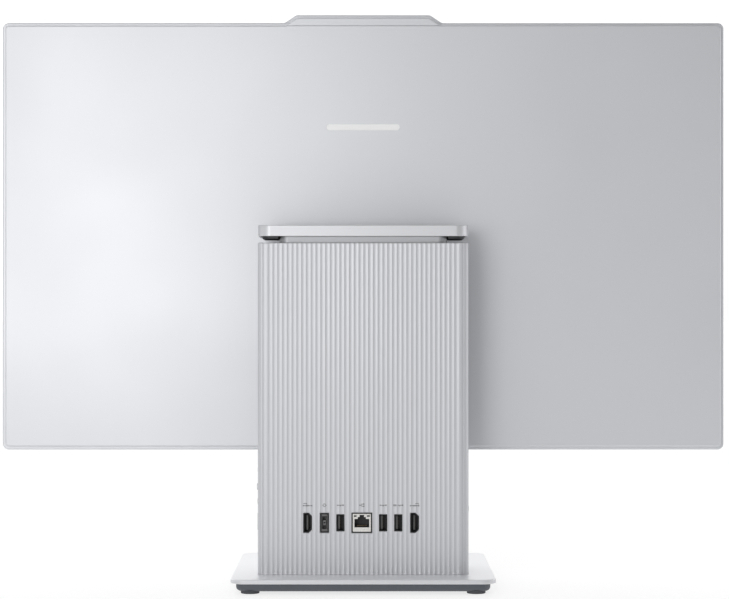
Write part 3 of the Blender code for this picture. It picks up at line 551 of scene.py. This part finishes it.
sideHoles = {  # side, height, radius
    "source": (1, 96.2 * mm, 2.2 * mm),
    "power": (1, 82.4 * mm, 3.1 * mm),
    "audio": (1, 70.5 * mm, 3.2 * mm),
    "status": (-1, 87.6 * mm, 1.4 * mm),
    "menu": (-1, 64.4 * mm, 2.4 * mm),
}


def fluteFace(x):
    # the rear face's place in y: shallow hollows, sharp ridges between them, and flat beyond the last ones
    if abs(x) > fluteHalf - tiny:
        return shellHigh.y
    share = (x + fluteHalf) / column["pitch"] % 1
    return shellHigh.y - column["depth"] * 4 * share * (1 - share)


def socketBlank(name, kind, grow, front, rear):
    # a block in a socket's outline, with the two corners on its -X side cut off where the socket has them so
    x, halfX, halfZ, chamfer = holes[kind]
    block = startBlock(name, (x - halfX - grow, front, socketZ - halfZ - grow),
                       (x + halfX + grow, rear, socketZ + halfZ + grow))
    if chamfer:
        roundCorners(block, 1, chamfer, 1, lambda place: place.x < x)
    roundCorners(block, 1, 0.4 * mm, 2)
    return block


def flareBlank(kind):
    # cuts the outer edge of a socket's hole to a slope
    x, halfX, halfZ, _ = holes[kind]
    flare, top = column["flare"], shellHigh.y - column["collarSet"] + 0.02 * mm
    blank = socketBlank("flareCut", kind, flare, top - flare - 0.02 * mm, top)
    for vertex in blank.data.vertices:
        if vertex.co.y < top - flare / 2:
            vertex.co.x = x + (vertex.co.x - x) * halfX / (halfX + flare)
            vertex.co.z = socketZ + (vertex.co.z - socketZ) * halfZ / (halfZ + flare)
    return blank


def grooveBlank(side):
    # a groove with a long slope on its inner side and a steep one on its outer side
    inner, bottom, outer = column["groove"]
    depth, rear = column["grooveDepth"], shellHigh.y
    blank = startBlock("grooveCut", (bottom - 1.5 * (bottom - inner), rear - depth, 0),
                       (bottom + 1.5 * (outer - bottom), rear + 0.5 * depth, 0.4))
    for vertex in blank.data.vertices:
        vertex.co.x = side * (bottom if vertex.co.y < rear else vertex.co.x)
    pick(blank, "VERT", lambda vertex: True)
    bpy.ops.mesh.remove_doubles(threshold=weld)
    bpy.ops.mesh.normals_make_consistent(inside=False)
    putDown()
    return blank


def sideCut(kind, inner, outer):
    side, height, radius = sideHoles[kind]
    return startRod("sideCut", "X", (side * (inner + outer) / 2, sideY, height), radius, outer - inner, 32)


def makeRearShell():
    # the wall's plan is laid out flat, carried round both corners, and drawn up to the column's height
    half, corner, rear, wall = shellHigh.x, column["corner"], shellHigh.y, column["wall"]
    bottom = shellLow.z - column["hang"]
    putDown()
    cells = column["flutes"] * column["steps"]
    bpy.ops.mesh.primitive_grid_add(x_subdivisions=cells, y_subdivisions=1, size=1)
    shell = settled("rearShell")
    for vertex in shell.data.vertices:
        x = vertex.co.x * 2 * fluteHalf
        inner = rear - wall - (0 if abs(x) > fluteHalf - tiny else column["depth"])
        vertex.co = (x, fluteFace(x) if vertex.co.y > 0 else inner, bottom)
    for side in (1, -1):
        pick(shell, "EDGE", lambda edge: all(near(v.co.x, side * fluteHalf) for v in edge.verts))
        pull((side * (half - corner - fluteHalf), 0, 0))
        bpy.ops.mesh.spin(steps=8, angle=side * pi / 2, axis=(0, 0, 1),
                          center=(side * (half - corner), rear - corner, bottom))
        pull((0, column["seam"] - (rear - corner), 0))
    pick(shell, "FACE", lambda face: True)
    bpy.ops.mesh.remove_doubles(threshold=weld)
    pull((0, 0, shellHigh.z - bottom))
    bpy.ops.mesh.select_all(action="SELECT")
    bpy.ops.mesh.normals_make_consistent(inside=False)
    roundRim(shell, 2, shellHigh.z, column["edge"], 2)
    for kind in holes:
        collar = socketBlank("collar", kind, column["collar"], rear - 2.6 * mm, rear - column["collarSet"])
        combine(shell, collar, "UNION")
    cutAway(shell, *[flareBlank(kind) for kind in holes],
            *[socketBlank("portCut", kind, 0, rear - 6 * mm, rear + 4 * mm) for kind in holes],
            *[sideCut(kind, half - 6 * mm, half + 4 * mm) for kind in sideHoles])
    halfSlot, slotLow, slotHigh = column["dataSlot"]
    slot = startBlock("slotCut", (half - 6 * mm, sideY - halfSlot, slotLow),
                      (half + 4 * mm, sideY + halfSlot, slotHigh))
    roundCorners(slot, 0, 0.5 * mm, 3)
    lockLow, lockHigh = column["lockSlot"]
    lock = startBlock("lockCut", (-half - 4 * mm, *lockLow), (6 * mm - half, *lockHigh))
    roundCorners(lock, 0, 0.8 * mm, 4)
    cutAway(shell, slot, lock, grooveBlank(1), grooveBlank(-1))
    complete(shell, "root", "shell", "silver", "rear_shell", "socket_panel", smooth=26)


def makeFrontShell():
    low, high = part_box("front_shell")
    back = column["seam"] - 0.3 * mm
    shell = startBlock("frontShell", low, (high.x, back, high.z))
    roundCorners(shell, 2, column["frontRound"], 4, lambda place: near(place.y, low.y))
    roundRim(shell, 2, high.z, column["edge"], 2)
    for side in (1, -1):
        places = sorted(side * place for place in column["flange"])
        combine(shell, startBlock("flange", (places[0], 0.5 * mm, low.z + 2 * mm),
                                  (places[1], high.y, high.z - 2 * mm)), "UNION")
    slots, halfSlot = [], column["ventHalf"]
    for middle, count, height, tall in column["vents"]:
        for index in range(count):
            x = (middle + (index - (count - 1) / 2) * column["ventPitch"]) * mm
            slot = startBlock("slot", (x - halfSlot, low.y - 4 * mm, (height - tall / 2) * mm),
                              (x + halfSlot, back + 4 * mm, (height + tall / 2) * mm))
            roundCorners(slot, 1, column["ventRound"], 5)
            slots.append(slot)
    cutAway(shell, joined("slotCut", slots))
    complete(shell, "root", "shell", "silver", "front_shell")


def makeNeck():
    low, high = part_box("neck_cover")
    wall, corner = column["neckWall"], column["neckRound"]
    neck = startBlock("neckCover", low, (high.x, high.y, high.z + column["neckRise"]))
    roundCorners(neck, 2, corner, 12, lambda place: near(place.y, high.y))
    hollow = startBlock("hollowCut", (low.x + wall, low.y - 5 * mm, low.z - 5 * mm),
                        (high.x - wall, high.y - wall, high.z + 5 * mm))
    roundCorners(hollow, 2, corner / 2, 8, lambda place: place.y > 0.05)
    cutAway(neck, hollow)
    complete(neck, "root", "shell", "silver", "neck_cover")


def capBlank(name, inset, bottom, top):
    low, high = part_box("cap")
    blank = startBlock(name, (low.x + inset, low.y + inset, bottom), (high.x - inset, high.y - inset, top))
    roundCorners(blank, 2, column["capRound"] - inset, 16, lambda place: place.y > 0.05)
    roundCorners(blank, 2, column["capFrontRound"] - inset / 2, 6, lambda place: place.y < 0.003)
    return blank


def makeCap():
    low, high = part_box("cap")
    cap = capBlank("topCap", 0, low.z, high.z)
    roundRim(cap, 2, high.z, column["capEdge"], 4)
    roundRim(cap, 2, low.z, column["capUnderEdge"], 3)
    cutAway(cap, capBlank("hollowCut", column["capWall"], low.z - 5 * mm, low.z + column["capHollow"]))
    complete(cap, "root", "cap", "silver", "cap")
    underside, rear = low.z, high.y - 3.5 * mm
    # the cap's liner is black plastic, and its black also stands in for the shade under the cap
    low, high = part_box("cap_liner")
    liner = capBlank("capLiner", column["linerInset"], underside, high.z)
    # black lips hang below the cap's ends beside the neck: painted shade for the dark strip under the cap
    for side in (1, -1):
        ends = sorted(side * end for end in column["lip"])
        lip = startBlock("lip", (ends[0], 12 * mm, low.z), (ends[1], rear, underside + 1 * mm))
        roundCorners(lip, 2, column["shadeLipRound"], 8, lambda place: place.y > 0.05 and abs(place.x) > 75 * mm)
        combine(liner, lip, "UNION")
    roundRim(liner, 2, low.z, 0.3 * mm, 2)
    complete(liner, "root", "dark", "dark", "cap_liner")


makeRearShell()
makeFrontShell()
makeNeck()
makeCap()
print("column made")


# Sockets: shells with a blind mouth, and what stands in it

port = {
    "face": 65.58 * mm, "back": 44.9 * mm, "gap": 0.3 * mm, "wall": 0.5 * mm, "depth": 10 * mm,
    "tongueTip": 62.88 * mm, "contact": 0.07 * mm,
    # a tongue's two sides from the socket's middle, its half height, and the number of its contacts
    "dataTongue": (0.3 * mm, 2.1 * mm, 5.6 * mm, 4), "videoTongue": (-0.5 * mm, 0.9 * mm, 6.0 * mm, 10),
}


def makeShell(name, kind, finish, node, wall=port["wall"]):
    shell = socketBlank(name, kind, -port["gap"], port["back"], port["face"])
    roundRim(shell, 1, port["face"], 0.12 * mm, 2)
    cutAway(shell, socketBlank("mouthCut", kind, -port["gap"] - wall, port["face"] - port["depth"],
                               port["face"] + 5 * mm))
    complete(shell, "root", finish, "socket", node)


def makeTongue(name, x, left, right, tall, fingers):
    # a tongue with gold fingers along its -X face
    low, high = x + left, x + right
    tongue = startBlock(name + ".tongue", (low, port["face"] - port["depth"], socketZ - tall),
                        (high, port["tongueTip"], socketZ + tall))
    roundRim(tongue, 1, port["tongueTip"], 0.25 * mm, 2)
    complete(tongue, "root", "tongue", "socket")
    strips = []
    for index in range(fingers):
        z, half = socketZ + (index - (fingers - 1) / 2) * 1.7 * tall / fingers, 0.45 * tall / fingers
        strips.append(startBlock("finger", (low - port["contact"], port["face"] - 9 * mm, z - half),
                                 (low + 0.02 * mm, port["tongueTip"] - 0.8 * mm, z + half)))
    complete(joined(name + ".contacts", strips), "root", "gold", "socket")


def makeTongueSocket(kind, node, tongue):
    makeShell(kind + "Socket", kind, "shadeShell", node)
    makeTongue(kind + "Socket", holes[kind][0], *port[tongue])


power = {  # half width, half height and how far the front stands back from the socket's face
    "wall": 0.9 * mm, "frame": (2.45 * mm, 6.85 * mm, 0.7 * mm), "slot": (1.95 * mm, 5.3 * mm),
    "sleeve": (1.15 * mm, 2.0 * mm, 1.4 * mm), "bore": 0.72 * mm, "pin": 0.3 * mm, "pinLength": 5 * mm,
    "pinSet": 4.5 * mm,
}


def makePowerSocket():
    x = holes["power"][0]
    face = port["face"]
    makeShell("powerSocket", "power", "socket", "power_socket", power["wall"])
    halfX, halfZ, back = power["frame"]
    frameIn = startBlock("powerSocket.frame", (x - halfX, face - 9.9 * mm, socketZ - halfZ),
                         (x + halfX, face - back, socketZ + halfZ))
    roundRim(frameIn, 1, face - back, 0.2 * mm, 2)
    halfX, halfZ = power["slot"]
    slot = startBlock("slotCut", (x - halfX, face - 9 * mm, socketZ - halfZ),
                      (x + halfX, face + 5 * mm, socketZ + halfZ))
    roundCorners(slot, 1, 0.4 * mm, 3)
    cutAway(frameIn, slot)
    complete(frameIn, "root", "insert", "socket")
    halfX, halfZ, back = power["sleeve"]
    sleeve = startBlock("powerSocket.sleeve", (x - halfX, face - 9.5 * mm, socketZ - halfZ),
                        (x + halfX, face - back, socketZ + halfZ))
    roundCorners(sleeve, 1, 0.3 * mm, 2)
    cutAway(sleeve, startRod("boreCut", "Y", (x, face - 4 * mm, socketZ), power["bore"], 9 * mm, 24))
    complete(sleeve, "root", "insert", "socket")
    tip, length = face - power["pinSet"], power["pinLength"]
    pin = startRod("powerSocket.pin", "Y", (x, tip - length / 2, socketZ), power["pin"], length, 16)
    roundRim(pin, 1, tip, 0.12 * mm, 2)
    complete(pin, "root", "socket", "socket")


network = {  # half width and half height, the shell's rise over the face, and the gap round it
    "body": (8.1 * mm, 8 * mm), "shell": (7.35 * mm, 7.25 * mm), "rise": 0.12 * mm, "seatGap": 0.05 * mm,
    "mouth": ((6.0, -3.7, 3.1), (3.3, 3.0, 4.7), (1.8, 4.6, 6.4)),  # steps: half width, low, high in mm
    "windowX": 5.35, "springs": 8, "springPitch": 1.05 * mm,
}


def makeNetworkSocket():
    x = holes["network"][0]
    face, z, top = port["face"], socketZ, port["face"] + network["rise"]
    halfX, halfZ = network["body"]
    body = startBlock("networkSocket", (x - halfX, port["back"], z - halfZ), (x + halfX, face, z + halfZ))
    roundCorners(body, 1, 0.4 * mm, 2)
    roundRim(body, 1, face, 0.15 * mm, 2)
    halfX, halfZ = network["shell"]
    cover = startBlock("networkSocket.shell", (x - halfX, face - 1 * mm, z - halfZ),
                       (x + halfX, top, z + halfZ))
    roundCorners(cover, 1, 0.35 * mm, 2)
    roundRim(cover, 1, top, 0.1 * mm, 2)
    gap = network["seatGap"]
    seat = startBlock("seatCut", (x - halfX - gap, face - 1 * mm - gap, z - halfZ - gap),
                      (x + halfX + gap, face + 5 * mm, z + halfZ + gap))
    cutAway(body, seat)
    for piece in (body, cover):
        mouths = [startBlock("mouth", (x - half * mm, face - 13 * mm, z + low * mm),
                             (x + half * mm, face + 5 * mm, z + high * mm))
                  for half, low, high in network["mouth"]]
        for mouth in mouths[1:]:
            combine(mouths[0], mouth, "UNION")
        cutAway(piece, mouths[0])
    away = network["windowX"]
    windows = [startBlock("windowCut", (x + (side * away - 1.15) * mm, face - 0.25 * mm, z + 4.7 * mm),
                          (x + (side * away + 1.15) * mm, face + 2 * mm, z + 6.2 * mm)) for side in (1, -1)]
    line = startBlock("lineCut", (x - 6.6 * mm, face - 0.1 * mm, z - 5.05 * mm),
                      (x + 6.6 * mm, face + 2 * mm, z - 4.8 * mm))
    cutAway(cover, *windows, line)
    complete(body, "root", "socket", "socket", "network_socket")
    complete(cover, "root", "nickel", "socket")
    for side, name in ((1, "linkLight"), (-1, "speedLight")):
        lamp = startBlock("networkSocket." + name,
                          (x + (side * away - 1.1) * mm, face - 0.24 * mm, z + 4.75 * mm),
                          (x + (side * away + 1.1) * mm, face + 0.02 * mm, z + 6.15 * mm))
        roundRim(lamp, 1, face + 0.02 * mm, 0.1 * mm, 2)
        complete(lamp, "root", "smoke", "socket")
    springs = []
    for index in range(network["springs"]):
        place = x + (index - (network["springs"] - 1) / 2) * network["springPitch"]
        springs.append(startBlock("spring", (place - 0.22 * mm, face - 11 * mm, z - 3.1 * mm),
                                  (place + 0.22 * mm, face - 6.5 * mm, z - 2.7 * mm)))
    complete(joined("networkSocket.contacts", springs), "root", "gold", "socket")


makeTongueSocket("dataOne", "data_socket_1", "dataTongue")
makeTongueSocket("dataTwo", "data_socket_2", "dataTongue")
makeTongueSocket("dataThree", "data_socket_3", "dataTongue")
makeTongueSocket("videoOut", "video_out_socket", "videoTongue")
makeTongueSocket("videoIn", "video_in_socket", "videoTongue")
makePowerSocket()
makeNetworkSocket()
print("rear sockets made")


# Side controls: three keys, a light, a round jack and one more data socket

control = {
    "rim": 0.35 * mm, "dish": 0.25 * mm, "collar": 1.2 * mm, "collarOut": 1.0 * mm,
    "mouth": 86.15 * mm, "inner": 70 * mm, "stand": (70.4 * mm, 77.6 * mm),
    "jackRadius": 2.9 * mm, "boreRadius": 1.8 * mm, "dataHalf": 3.2 * mm, "dataMouth": (2.7 * mm, 6.4 * mm),
    "tongueSet": 3.4 * mm, "contacts": 4, "contactPitch": 2.4 * mm,
}


def makeKey(name, node, body, low, high):
    side = 1 if low.x > 0 else -1
    face = high.x if side > 0 else low.x
    radius = (high.z - low.z) / 2 - control["collarOut"]
    flange = column["flange"][1] - control["collar"]
    middle = (low + high) / 2
    key = startRod(name, "X", ((face + side * flange) / 2, middle.y, middle.z), radius, abs(face) - flange)
    roundRim(key, 0, face, control["rim"], 3)
    pick(key, "FACE", lambda part: all(near(v.co.x, face) for v in part.verts))
    bpy.ops.mesh.inset(thickness=radius * 0.25)
    bpy.ops.mesh.inset(thickness=radius * 0.15, depth=-control["dish"])
    putDown()
    collar = startRod("collar", "X", (side * (flange + control["collar"] / 2), middle.y, middle.z),
                      radius + control["collarOut"], control["collar"])
    combine(key, collar, "UNION")
    complete(key, body, "silver", "silver", node)


def makeSideControls():
    for kind in ("source", "power", "menu"):
        makeKey(kind + "Key", kind + "_button", kind + "_key", *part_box(kind + "_button"))
    low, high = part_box("status_light")
    light = startRod("statusLight", "X", (low + high) / 2, (high.z - low.z) / 2, high.x - low.x, 32)
    roundRim(light, 0, low.x, 0.35 * mm, 3)
    complete(light, "root", "lens", "lens", "status_light")

    _, height, _ = sideHoles["audio"]
    mouth, inner = control["mouth"], control["inner"]
    standIn, standOut = control["stand"]
    stand = startBlock("audioJack", (standIn, port["back"], height - 2.2 * mm),
                       (standOut, sideY, height + 2.2 * mm))
    jack = startRod("barrel", "X", ((inner + mouth) / 2, sideY, height), control["jackRadius"], mouth - inner)
    roundRim(jack, 0, mouth, 0.2 * mm, 2)
    combine(stand, jack, "UNION")
    cutAway(stand, startRod("boreCut", "X", (80 * mm, sideY, height), control["boreRadius"], 17 * mm, 32))
    complete(stand, "root", "socket", "socket", "audio_socket")
    ring = startRod("audioJack.ring", "X", (mouth - 0.6 * mm, sideY, height), 2.3 * mm, 1.4 * mm)
    cutAway(ring, startRod("boreCut", "X", (mouth, sideY, height), 1.75 * mm, 9 * mm, 32))
    complete(ring, "root", "nickel", "socket")

    low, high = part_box("side_data_socket")
    z = (low.z + high.z) / 2
    half = control["dataHalf"]
    shell = startBlock("sideDataSocket", (inner, sideY - half, low.z), (mouth, sideY + half, high.z))
    roundCorners(shell, 0, 0.4 * mm, 2)
    roundRim(shell, 0, mouth, 0.12 * mm, 2)
    halfY, halfZ = control["dataMouth"]
    stand = startBlock("stand", (standIn, port["back"], z - halfZ), (standOut, sideY, z + halfZ))
    combine(shell, stand, "UNION")
    cutAway(shell, startBlock("mouthCut", (75.5 * mm, sideY - halfY, z - halfZ),
                              (mouth + 5 * mm, sideY + halfY, z + halfZ)))
    complete(shell, "root", "shadeShell", "socket", "side_data_socket")
    tip = mouth - control["tongueSet"]
    tongue = startBlock("sideDataSocket.tongue", (75.4 * mm, sideY - 2.1 * mm, z - 5.6 * mm),
                        (tip, sideY - 0.3 * mm, z + 5.6 * mm))
    roundRim(tongue, 0, tip, 0.25 * mm, 2)
    complete(tongue, "root", "tongue", "socket")
    strips = []
    for index in range(control["contacts"]):
        height = z + (index - (control["contacts"] - 1) / 2) * control["contactPitch"]
        strips.append(startBlock("finger", (76 * mm, sideY - 0.32 * mm, height - 0.6 * mm),
                                 (tip - 0.8 * mm, sideY - 0.23 * mm, height + 0.6 * mm)))
    complete(joined("sideDataSocket.contacts", strips), "root", "gold", "socket")


makeSideControls()
print("side controls made")


# Marks over the sockets: plain strokes of ink that follow the flutes

# each stroke is left, low, right, high in mm, from the socket's middle and the marks' own height
dataStrokes = (
    (-2.9, -0.15, 2.9, 0.15), (-2.9, -0.6, -1.7, 0.6), (1.7, -0.45, 2.6, 0.45), (-0.4, -0.8, 0.5, -0.5),
)
marks = {
    "videoOut": (
        (-3.9, -0.5, 3.9, -0.2), (-3.9, -0.9, -3.0, 0.2), (-1.2, -0.9, 1.8, 0.2), (2.6, -0.9, 3.9, 0.2),
        (0.6, 1.32, 3.4, 1.58), (0.4, 0.4, 0.7, 1.6),
    ),
    "power": (
        (-1.8, -0.15, -0.7, 0.15), (-0.9, -1.2, -0.6, 1.2), (-0.7, 0.95, 0.7, 1.18),
        (-0.7, -1.18, 0.7, -0.95), (0.6, -1.2, 0.9, 1.2), (0.8, -0.15, 1.8, 0.15),
    ),
    "dataOne": dataStrokes,
    "network": (
        (-2.1, -1.4, -1.0, -0.3), (-2.1, 0.5, -1.0, 1.5), (1.1, -0.5, 2.1, 0.5), (-1.0, -0.95, 0.3, -0.65),
        (-1.0, 0.75, 0.3, 1.05), (0.1, -0.95, 0.4, 1.05), (0.4, -0.15, 1.1, 0.15),
    ),
    "dataTwo": dataStrokes,
    "dataThree": (
        (-4.0, -0.15, 0.6, 0.15), (-4.0, -0.6, -2.8, 0.6), (-1.6, -0.8, -0.8, -0.5),
        (1.5, -0.58, 4.1, -0.32), (1.5, 0.22, 4.1, 0.48), (1.4, -0.6, 1.7, 0.5),
    ),
    "videoIn": (
        (-3.9, -0.5, 3.9, -0.2), (-3.9, -0.9, -2.6, 0.2), (-1.8, -0.9, 1.2, 0.2), (3.0, -0.9, 3.9, 0.2),
        (-3.3, 1.32, -0.6, 1.58), (-3.4, 0.4, -3.1, 1.6),
    ),
}
ink = {  # the thinnest stroke's width and the longest step across the flutes are in mm
    "height": 68.3 * mm, "width": 0.62, "step": 0.3, "sunk": 0.15 * mm, "proud": 0.08 * mm,
}


def makeMark(kind):
    middle = holes[kind][0]
    strokes = []
    for left, low, right, high in marks[kind]:
        thicker = max(0, ink["width"] - (high - low)) / 2
        bottom, top = ink["height"] + (low - thicker) * mm, ink["height"] + (high + thicker) * mm
        stroke = startBlock("stroke", (middle + left * mm, -ink["sunk"], bottom),
                            (middle + right * mm, ink["proud"], top))
        pick(stroke, "EDGE", lambda edge: runsAlong(edge, 0))
        bpy.ops.mesh.subdivide(number_cuts=max(1, round((right - left) / ink["step"])))
        putDown()
        for vertex in stroke.data.vertices:
            vertex.co.y += fluteFace(vertex.co.x)
        strokes.append(stroke)
    complete(joined(kind + "Mark", strokes), "root", "ink", "silver")


for kind in holes:
    makeMark(kind)
print("marks made")


# The other nodes of the frame stay as they are and get their finish

bare = {
    "steel": (
        "column_frame", "board_rail_left", "board_rail_right", "base_screw_left", "base_screw_right",
        "bracket_screw_left", "bracket_screw_right", "hinge_pin", "mount_plate", "backlight_tray",
    ),
    "aluminium": ("hinge_arm", "display_bracket", "fin_stack"),
    "copper": ("heat_pipe", "cold_plate"),
    "board": (
        "mainboard", "display_board", "memory_module_1", "memory_module_2", "solid_state_drive",
        "camera_module",
    ),
    "chip": ("processor",),
    "dark": (
        "blower_housing", "blower_rotor", "speaker_left", "speaker_right", "exhaust_grille",
        "camera_window", "privacy_shutter", "display_cable_lower", "display_cable_upper",
    ),
}
for finish, names in bare.items():
    for name in names:
        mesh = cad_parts[name].data
        mesh.materials.clear()
        mesh.materials.append(finishes[finish])


# Floor and surroundings

putDown()
bpy.ops.mesh.primitive_plane_add(size=studio["floorSize"], location=(0, 0, -0.1 * mm))
floor = settled("floor")
floorPaint = Paint("paleFloor")
floorPaint.feed(baseColor=(studio["floor"],) * 3, roughness=0.7, emissionStrength=studio["floorGlow"])
floorPaint.shader.inputs["Emission Color"].default_value = (1, 1, 1, 1)
floor.data.materials.append(floorPaint.material)


def makeSky():
    # it shines from the camera's left, from behind the object and from above
    world = bpy.data.worlds.new("studio")
    world.use_nodes = True
    bpy.context.scene.world = world
    air = Paint("", world.node_tree)
    split = air.node("SeparateXYZ", {}, air.node("TexCoord", {}))
    left, towards, up = (Wire(air, socket) for socket in split.socket.node.outputs)
    strength = 0.0
    for name, way in (("left", left), ("away", towards * -1), ("up", up)):
        strength = way.maths("MAXIMUM", way, 0.0) * studio["sky"][name] + strength
    background = world.node_tree.nodes["Background"]
    background.inputs["Color"].default_value = (1, 1, 1, 1)
    air.join(strength, background.inputs["Strength"])


makeSky()
